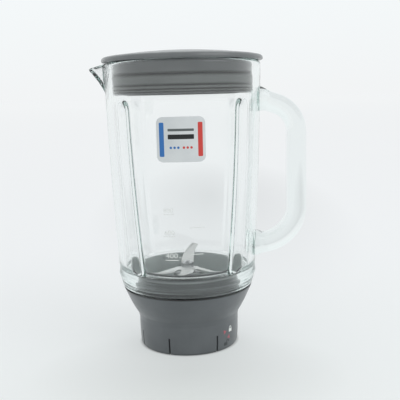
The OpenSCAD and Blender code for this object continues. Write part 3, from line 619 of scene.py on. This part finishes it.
def makeJug():
    bm = bmesh.new()
    spinLine(bm, jugLine(), True, jug["columns"])
    shapeJug(bm)
    bmesh.ops.recalc_face_normals(bm, faces=bm.faces)
    mesh = bpy.data.meshes.new("jugRaw")
    bm.to_mesh(mesh)
    bm.free()
    body = bpy.data.objects.new("jugRaw", mesh)
    loop = bpy.data.objects.new("handleRaw", handleMesh())
    for piece in (body, loop):
        scene.collection.objects.link(piece)
    union = body.modifiers.new("union", "BOOLEAN")
    union.operation = "UNION"
    union.solver = "EXACT"
    union.object = loop
    solid = bpy.data.meshes.new_from_object(body.evaluated_get(bpy.context.evaluated_depsgraph_get()))
    solid.name = "glassJug"
    for piece in (body, loop):
        bpy.data.objects.remove(piece)
    return placePiece(solid, "glassJug", jugGlass, "jar", ["jug"], 38)


glassJug = makeJug()
print("glass jug made:", len(glassJug.data.polygons), "faces")

# the collar that the jug screws into: flared bowl, waist and a ring with slits
collar = {
    # slits and tabs are in degrees from the front, and again on the other side
    "wall": 2.6, "slitTop": 15, "slits": (-66, -22, 34, 79), "slitHalf": 1, "steps": 360,
    "outside": [(43.0, 0.0, 0), (44.1, 1.8, 1.2), (44.6, 8.0, 3.0), (44.85, 15.0, 0), (44.95, 20.0, 4.0),
                (44.95, 25.0, 5.0), (45.9, 29.4, 6.0), (48.7, 34.0, 9.0), (52.0, 40.2, 9.0), (55.6, 48.3, 9.0),
                (57.3, 52.0, 3.0), (58.0, 54.0, 0)],
    # shelf under the glass with the sleeve for its neck
    "shelf": [(24, 31.7, 0.5), (26, 31.7, 0.5), (26, 36.7, 0.3), (49.0, 36.7, 0.3), (51.0, 40.0, 1.0),
              (52.8, 46.0, 0.5), (52.8, 53.6, 0.5), (50.6, 53.6, 0.5), (50.6, 39.7, 0.3), (24, 39.7, 0.3)],
    # stiffening ribs and bayonet lugs: low and high corner, softened edge
    "rib": ((25, -0.8, 31.7), (44.2, 0.8, 36.9), 0.25), "ribStep": 30,
    "lug": ((39.3, -2.6, 3.5), (42.2, 2.6, 6.5), 0.3), "lugParts": (-6, 0, 6), "tabs": (-44, 56.5),
}


def makeCollar():
    bm = bmesh.new()
    spinLine(bm, roundCorners(collar["outside"], False, 6), False, collar["steps"])
    gaps = [(a + turn - 90) % 360 for a in collar["slits"] for turn in (0, 180)]
    doomed = []
    for face in bm.faces:
        middle = face.calc_center_median()
        angle = math.degrees(math.atan2(middle.y, middle.x)) % 360
        near = min(abs((angle - gap + 180) % 360 - 180) for gap in gaps)
        if near < collar["slitHalf"] and middle.z < collar["slitTop"] * mm:
            doomed.append(face)
    bmesh.ops.delete(bm, geom=doomed, context="FACES")
    bmesh.ops.recalc_face_normals(bm, faces=bm.faces)
    outward = 0
    for face in bm.faces:
        middle = face.calc_center_median()
        outward += face.normal.dot(Vector((middle.x, middle.y, 0)))
    if outward < 0:
        bmesh.ops.reverse_faces(bm, faces=bm.faces)
    bmesh.ops.solidify(bm, geom=bm.faces[:], thickness=collar["wall"] * mm)
    spinLine(bm, roundCorners(collar["shelf"], True, 2), True, 120)
    low, high, soft = collar["rib"]
    for turn in range(0, 360, collar["ribStep"]):
        addBlock(bm, low, high, turn, soft)
    low, high, soft = collar["lug"]
    for turn in (0, 180):
        for tab in collar["tabs"]:
            for part in collar["lugParts"]:
                addBlock(bm, low, high, turn + tab - 90 + part, soft)
    return finishPiece(bm, "baseCollar", collarPlastic, "jar", ["base_collar"], 32)


makeCollar()
print("collar made")

# prints: drawn flat in front of the jar, with x along the curve from its middle, then wrapped round it
marks = {
    "raise": 0.09, "sunk": 0.03, "bendStep": 1.5, "bendCuts": 5,
    # words with their low left and high right corner; lines with left, right, height and thickness
    "numbers": [("400", (-16.5, 91.1), (-6.5, 95.2)), ("600", (-16.9, 111.0), (-8.6, 114.4)),
                ("800", (-17.2, 129.4), (-9.3, 132.6))],
    "lines": [(-16.9, -5.9, 89.3, 0.65), (-5.3, -3.0, 91.5, 0.6), (-18.6, -7.9, 109.4, 0.45),
              (-17.4, -8.6, 127.8, 0.4), (4.1, 14.7, 94.1, 0.6), (3.7, 16.3, 116.4, 0.5)],
}
ringMarks = {
    # locks and arrows stand at x and z; the open lock's shackle is slid aside, and an arrow has its turn
    "closedLock": (43.0, 15.0), "openLock": (36.4, 3.6), "openSlide": 2.6, "lockWide": 4.2, "lockHigh": 2.9,
    "shackleR": 1.3, "wire": 0.7, "leg": 0.7, "overlap": 0.1,
    "arrows": [(35.2, 16.4, 200), (40.6, 10.8, 20)], "arrowR": 2.3,
}


def collarR(z):
    points = collar["outside"]
    for (lowR, lowZ, _), (highR, highZ, _) in zip(points, points[1:]):
        if lowZ <= z <= highZ:
            return mixed(lowR, highR, (z - lowZ) / (highZ - lowZ))
    return points[0][0]


def addWords(bm, words, low, high):
    curve = bpy.data.curves.new("words", "FONT")
    curve.body = words
    curve.extrude = 0.5  # any depth will do, it is set below
    writing = bpy.data.objects.new("words", curve)
    scene.collection.objects.link(writing)
    mesh = bpy.data.meshes.new_from_object(writing.evaluated_get(bpy.context.evaluated_depsgraph_get()))
    bpy.data.objects.remove(writing)
    xs, ys = [v.co.x for v in mesh.vertices], [v.co.y for v in mesh.vertices]
    for v in mesh.vertices:
        x = mixed(low[0], high[0], (v.co.x - min(xs)) / (max(xs) - min(xs)))
        z = mixed(low[1], high[1], (v.co.y - min(ys)) / (max(ys) - min(ys)))
        v.co = inMetres(x, marks["sunk"] if v.co.z < 0 else -marks["raise"], z)
    bm.from_mesh(mesh)


def addStroke(bm, low, high):
    addBlock(bm, (low[0], -marks["raise"], low[1]), (high[0], marks["sunk"], high[1]))


def wrapRound(bm, radiusAt):
    # long strokes are cut first, so that they can bend
    step = marks["bendStep"] * mm
    longEdges = [edge for edge in bm.edges if abs(edge.verts[0].co.x - edge.verts[1].co.x) > step]
    bmesh.ops.subdivide_edges(bm, edges=longEdges, cuts=marks["bendCuts"], use_grid_fill=True)
    bmesh.ops.remove_doubles(bm, verts=bm.verts, dist=1e-7)
    bmesh.ops.recalc_face_normals(bm, faces=bm.faces)
    for vert in bm.verts:
        base = radiusAt(vert.co.z / mm) * mm
        turn = vert.co.x / base
        vert.co = ((base - vert.co.y) * math.sin(turn), -(base - vert.co.y) * math.cos(turn), vert.co.z)


def makeVolumeMarks():
    bm = bmesh.new()
    for words, low, high in marks["numbers"]:
        addWords(bm, words, low, high)
    for left, right, z, high in marks["lines"]:
        addStroke(bm, (left, z - high / 2), (right, z + high / 2))
    wrapRound(bm, outerR)
    return finishPiece(bm, "volumeMarks", paleInk, "jar")


def makeLock(name, spot, slide, material):
    bm = bmesh.new()
    x, z = spot
    half, radius, leg = ringMarks["wire"] / 2, ringMarks["shackleR"], ringMarks["leg"]
    top = z + ringMarks["lockHigh"]
    addStroke(bm, (x - ringMarks["lockWide"] / 2, z), (x + ringMarks["lockWide"] / 2, top))
    for middle in (x + slide - radius, x + slide + radius):
        addStroke(bm, (middle - half, top - ringMarks["overlap"]), (middle + half, top + leg))
    corners = [(radius - half, marks["sunk"]), (radius + half, marks["sunk"]),
               (radius + half, -marks["raise"]), (radius - half, -marks["raise"])]
    centre = inMetres(x + slide, 0, top + leg)
    face = bm.faces.new([bm.verts.new(centre + inMetres(a, b, 0)) for a, b in corners])
    bmesh.ops.spin(bm, geom=[face] + face.verts[:] + face.edges[:], cent=centre, axis=(0, -1, 0), dvec=(0, 0, 0),
                   angle=math.pi, steps=10)
    wrapRound(bm, collarR)
    return finishPiece(bm, name, material, "jar")


def makeArrows():
    bm = bmesh.new()
    thick = (marks["raise"] + marks["sunk"]) * mm
    radius = ringMarks["arrowR"] * mm
    for x, z, turn in ringMarks["arrows"]:
        place = Matrix.Translation((x * mm, (marks["sunk"] - marks["raise"]) / 2 * mm, z * mm))
        place = place @ Matrix.Rotation(math.radians(turn), 4, "Y") @ Matrix.Rotation(math.radians(90), 4, "X")
        bmesh.ops.create_cone(bm, cap_ends=True, segments=3, radius1=radius, radius2=radius, depth=thick, matrix=place)
    wrapRound(bm, collarR)
    return finishPiece(bm, "turnArrows", redInk, "jar")


makeVolumeMarks()
makeLock("closedLock", ringMarks["closedLock"], 0, paleInk)
makeLock("openLock", ringMarks["openLock"], ringMarks["openSlide"], shadeInk)
makeArrows()
print("prints made")

# lid, its rubber rings and the filler cap
lid = {
    "shell": [(25.0, 235.8, 0.4), (27.4, 235.8, 0.4), (27.4, 254.8, 0.6), (56.8, 254.8, 1.0), (56.8, 224.4, 0.5),
              (59.8, 224.4, 0.8), (60.2, 225.6, 0.3), (59.0, 225.9, 0.2), (59.0, 241.2, 0.2), (60.5, 241.4, 0.4),
              (60.6, 251.2, 0.6), (67.6, 251.2, 0.8), (69.7, 251.9, 0.8), (70.2, 253.2, 1.0), (69.6, 254.9, 0.8),
              (68.3, 255.9, 0.7), (64.0, 256.8, 3.0), (45.0, 259.0, 12.0), (30.0, 260.3, 0.8), (29.1, 260.2, 0.4),
              (29.1, 258.0, 0.3), (25.0, 258.0, 0.4)],
    "seal": [(59.1, 226.0, 0.2), (60.9, 226.1, 0.7), (61.2, 227.0, 0.8), (60.6, 227.6, 0.4), (59.9, 227.8, 0.2),
             (60.6, 228.1, 0.4), (61.2, 229.3, 0.9), (60.7, 230.7, 0.5), (59.9, 231.1, 0.2), (60.7, 231.6, 0.5),
             (61.1, 233.0, 1.0), (61.15, 237.6, 1.0), (60.7, 239.2, 0.5), (59.9, 239.7, 0.2), (60.5, 240.2, 0.4),
             (60.6, 241.1, 0.3), (59.1, 241.1, 0.2)],
    "cap": [(0, 248.8, 0), (22.7, 248.8, 0.6), (22.7, 231.8, 0.4), (24.7, 231.8, 0.8), (24.7, 258.1, 0.3),
            (28.7, 258.1, 0.3), (28.7, 260.2, 0.8), (22.4, 260.3, 1.0), (21.7, 251.4, 1.4), (0, 251.3, 0)],
    # the cap's grip bar and its two pins: low and high corner, softened edge
    "grip": ((-22.3, -2.8, 250.9), (22.3, 2.8, 260.0), 0.9),
    "pin": ((24.0, -3.5, 236.8), (26.3, 3.5, 239.2), 0.3), "pinTurns": (8, 188),
    "steps": 192, "capSteps": 144,
}


def makeLid():
    bm = bmesh.new()
    spinLine(bm, roundCorners(lid["shell"], True, 4), True, lid["steps"])
    return finishPiece(bm, "lidShell", lidPlastic, "jar", ["lid"])


def makeSeal():
    bm = bmesh.new()
    spinLine(bm, roundCorners(lid["seal"], True, 4), True, lid["steps"])
    return finishPiece(bm, "lidSealRings", sealLips, "jar", ["lid_seal"], 50)


def makeCap():
    bm = bmesh.new()
    spinLine(bm, roundCorners(lid["cap"], False, 4), False, lid["capSteps"])
    low, high, soft = lid["grip"]
    addBlock(bm, low, high, 0, soft)
    low, high, soft = lid["pin"]
    for turn in lid["pinTurns"]:
        addBlock(bm, low, high, turn, soft)
    return finishPiece(bm, "fillerCap", lidPlastic, "jar", ["filler_cap"])


makeLid()
makeSeal()
makeCap()
print("lid made")

# blade carrier: deck, hub and the hollow under it
carrier = {
    "skin": [(12.0, 25.2, 0.6), (12.0, 36.7, 0.4), (15.0, 36.7, 0.4), (15.0, 45.6, 1.0), (21.0, 44.2, 1.0),
             (21.0, 37.8, 0.3), (23.0, 37.8, 0.4), (23.0, 39.7, 0.3), (48.6, 39.7, 0.3), (48.6, 43.2, 0.3),
             (46.2, 43.2, 0.3), (46.2, 71.8, 0.8), (43.4, 71.8, 0.8), (42.8, 51.0, 3.0), (40.5, 46.6, 3.0),
             (36.0, 46.2, 1.5), (21.0, 47.2, 4.0), (15.0, 50.7, 4.0), (12.0, 54.2, 3.0), (12.0, 63.0, 0.4),
             (8.5, 63.0, 0.2), (8.5, 59.4, 0.2), (7.0, 59.4, 0.1), (7.0, 50.4, 0.1), (5.4, 50.4, 0.1),
             (5.4, 34.2, 0.1), (7.0, 34.2, 0.1), (7.0, 25.2, 0.1)],
    # ribs round the hub and lugs on the sleeve: low and high corner, softened edge, first turn, step
    "ribs": ((14.5, -0.9, 37.8), (21.5, 0.9, 45.2), 0.2, 22.5, 45),
    "lugs": ((22.5, -3.9, 36.7), (30.3, 3.9, 39.9), 0.5, 45, 90),
    "steps": 144,
}


def makeCarrier():
    bm = bmesh.new()
    spinLine(bm, roundCorners(carrier["skin"], True, 4), True, carrier["steps"])
    for low, high, soft, first, step in (carrier["ribs"], carrier["lugs"]):
        for i in range(360 // step):
            addBlock(bm, low, high, first + i * step, soft)
    return finishPiece(bm, "bladeDeck", innerPlastic, "jar", ["blade_carrier"])


makeCarrier()
print("blade carrier made")

# blades: bent and ground sheets; each arm is (angle up, reach past the bend, tip width, sweep of the tip)
blades = {
    "thick": 1.5, "width": 11.5, "root": 8.0, "bend": 4.0, "turn": 2, "lowerZ": 66.2, "upperZ": 67.7,
    "grindWidth": 2.6, "grindFade": 0.12, "edge": 0.25, "leadHollow": 0.085, "tipSlant": 0.1, "grid": (72, 20),
    "lower": ((-15, 28.9, 5.75, -2.5), (-15, 28.9, 5.75, -2.5)),
    "upper": ((64, 18.5, 5.5, -8.0), (-15, 14.0, 2.9, -8.0)),
}


def makeBlade(name, arms, z, turn, replaced):
    bm = bmesh.new()
    bmesh.ops.create_grid(bm, x_segments=blades["grid"][0], y_segments=blades["grid"][1], size=1)
    thickness = bm.verts.layers.float_vector.new("thickness")
    thick, width, flat, bend = blades["thick"], blades["width"], blades["root"], blades["bend"]
    for vert in bm.verts:
        side = 1 if vert.co.x >= 0 else -1
        angle, reach, tipWidth, sweep = arms[0] if side > 0 else arms[1]
        across = vert.co.y * side
        rad, sign = math.radians(abs(angle)), math.copysign(1, angle)
        along = abs(vert.co.x) * (flat + bend * rad + reach)
        share = min(max((along - flat - bend * rad) / reach, 0), 1)
        # plan: swept leading edge, curved trailing edge, slanted tip
        hollow = blades["leadHollow"] * reach * share * (1 - share)
        lead = width / 2 + (sweep + tipWidth / 2 - width / 2) * share ** 2 - hollow
        trail = -width / 2 + (sweep - tipWidth / 2 + width / 2) * share ** 2
        place = mixed(trail, lead, (across + 1) / 2)
        along -= blades["tipSlant"] * reach * share ** 3 * (1 - across) / 2
        # side view: flat, bend, straight arm; the ground edge thins the sheet from above
        turned = min(max(along - flat, 0) / bend, rad)
        past = max(along - flat - bend * rad, 0)
        x = min(along, flat) + bend * math.sin(turned) + past * math.cos(rad)
        lift = sign * (bend * (1 - math.cos(turned)) + past * math.sin(rad))
        ground = max(1 - (lead - place) / blades["grindWidth"], 0) * ease(0, blades["grindFade"], share)
        grow = mixed(thick, blades["edge"], ground)
        vert.co = (x * side, place * side, lift)
        vert[thickness] = Vector((-sign * math.sin(turned) * side, 0, math.cos(turned))) * grow
    made = bmesh.ops.extrude_face_region(bm, geom=bm.faces[:], use_keep_orig=True)["geom"]
    for vert in made:
        if isinstance(vert, bmesh.types.BMVert):
            vert.co += vert[thickness]
    bmesh.ops.recalc_face_normals(bm, faces=bm.faces)
    place = Matrix.Translation((0, 0, z * mm)) @ Matrix.Rotation(math.radians(turn), 4, "Z") @ Matrix.Scale(mm, 4)
    bmesh.ops.transform(bm, matrix=place, verts=bm.verts)
    return finishPiece(bm, name, bladeSteel, "blades", [replaced], 30)


makeBlade("lowerBlade", blades["lower"], blades["lowerZ"], blades["turn"], "lower_blade")
makeBlade("upperBlade", blades["upper"], blades["upperZ"], blades["turn"] + 90, "upper_blade")
print("blades made")

# carried-over frame nodes get their finishes
finishes = {
    "jug_seal": sealRubber, "upper_bush": bushBronze, "lower_bush": bushBronze, "shaft_seal": sealRubber,
    "seal_retainer": turnedSteel, "shaft": turnedSteel, "blade_spacer": turnedSteel, "blade_washer": turnedSteel,
    "blade_nut": turnedSteel, "thrust_washer": bushBronze, "circlip": turnedSteel,
    "drive_coupling": couplingPlastic, "coupling_insert": coreBrass, "label": labelFilm,
}
for name, material in finishes.items():
    cadNodes[name].data.materials.clear()
    cadNodes[name].data.materials.append(material)


# studio
def seenRays(tree):
    # 1 for camera, mirror and glass rays, 0 for the rays that light the object
    path = addNode(tree, "LightPath")
    shown = path.outputs["Is Camera Ray"]
    for kind in ("Is Glossy Ray", "Is Transmission Ray"):
        either = addNode(tree, "Math", operation="MAXIMUM")
        tree.links.new(shown, either.inputs[0])
        tree.links.new(path.outputs[kind], either.inputs[1])
        shown = either.outputs[0]
    return shown


def addShaders(tree, factor, first, second):
    blend = addNode(tree, "MixShader")
    tree.links.new(factor, blend.inputs["Fac"])
    tree.links.new(first.outputs[0], blend.inputs[1])
    tree.links.new(second.outputs[0], blend.inputs[2])
    return blend.outputs[0]


def makeFloor():
    bm = bmesh.new()
    bmesh.ops.create_circle(bm, cap_ends=True, segments=96, radius=studio["floorR"])
    mesh = bpy.data.meshes.new("floor")
    bm.to_mesh(mesh)
    bm.free()
    floor = bpy.data.objects.new("floor", mesh)
    scene.collection.objects.link(floor)
    material, tree, shader, coords = startMaterial("FloorPaper", {"Roughness": 0.9, "Specular IOR Level": 0.0})
    fromX, fromY = studio["floorFrom"]
    away = addDistance(tree, coords, {"Location": (-fromX, -fromY, 0)})
    depth = addNode(tree, "Math", {1: studio["floorPower"]}, operation="POWER")
    tree.links.new(addRange(tree, away, 0, 1, 0, studio["floorReach"]), depth.inputs[0])
    tone = addColors(tree, depth.outputs[0], studio["floorTones"])
    # painted shadows: the jar's shadow behind it, the shade in front of its base and the dark under it
    for (x, y), (wide, deep), strength, edge in studio["floorPaintedShadows"]:
        mapping = addNode(tree, "Mapping", {"Location": (-x / wide, -y / deep, 0), "Scale": (1 / wide, 1 / deep, 1)})
        tree.links.new(coords, mapping.inputs["Vector"])
        spot = addNode(tree, "TexGradient", gradient_type="SPHERICAL")
        tree.links.new(mapping.outputs["Vector"], spot.inputs["Vector"])
        tone = addMix(tree, addRange(tree, spot.outputs["Fac"], 0, strength, 0, edge), tone, (0, 0, 0, 1))
    tree.links.new(tone, shader.inputs["Base Color"])
    glow = addNode(tree, "Emission")
    tree.links.new(tone, glow.inputs["Color"])
    share = addNode(tree, "Math", {1: studio["floorShown"]}, operation="MULTIPLY")
    tree.links.new(seenRays(tree), share.inputs[0])
    blend = addShaders(tree, share.outputs[0], shader, glow)
    tree.links.new(blend, tree.nodes["Material Output"].inputs["Surface"])
    mesh.materials.append(material)


def makeWorld():
    world = bpy.data.worlds.new("studio")
    scene.world = world
    world.use_nodes = True
    tree = world.node_tree
    tree.nodes.clear()
    height = addHeight(tree, addNode(tree, "TexCoord").outputs["Generated"])
    sky = [(0, studio["horizon"]), (1, studio["zenith"])]
    shown = addNode(tree, "Background", {"Strength": 1.0})
    tree.links.new(addColors(tree, addRange(tree, height, 0, 1, 0, studio["zenithFrom"]), sky), shown.inputs["Color"])
    light = addNode(tree, "Background", {"Color": (1, 1, 1, 1), "Strength": studio["worldLight"]})
    out = addNode(tree, "OutputWorld")
    tree.links.new(addShaders(tree, seenRays(tree), light, shown), out.inputs["Surface"])


def makeLamp():
    data = bpy.data.lights.new("keyLamp", "AREA")
    data.energy = studio["keyWatts"]
    data.size = studio["keySize"]
    lamp = bpy.data.objects.new("keyLamp", data)
    lamp.location = studio["keyPlace"]
    aim = Vector(studio["keyAim"]) - Vector(studio["keyPlace"])
    lamp.rotation_euler = aim.to_track_quat("-Z", "Y").to_euler()
    scene.collection.objects.link(lamp)


def makeCamera():
    data = bpy.data.cameras.new("camera")
    data.lens = studio["lens"]
    data.sensor_width = studio["sensorWidth"]
    data.dof.use_dof = False
    camera = bpy.data.objects.new("camera", data)
    tilt = Matrix.Rotation(math.radians(90 - studio["pitchDown"]), 4, "X")
    roll = Matrix.Rotation(math.radians(studio["roll"]), 4, "Z")
    camera.matrix_world = Matrix.Translation(studio["cameraPlace"]) @ tilt @ roll
    scene.collection.objects.link(camera)
    scene.camera = camera


makeFloor()
makeWorld()
makeLamp()
makeCamera()
scene.view_settings.view_transform = "Standard"
scene.cycles.max_bounces = studio["bounces"]
scene.cycles.transmission_bounces = studio["bounces"]
scene.cycles.glossy_bounces = studio["glossyBounces"]
print("studio made")
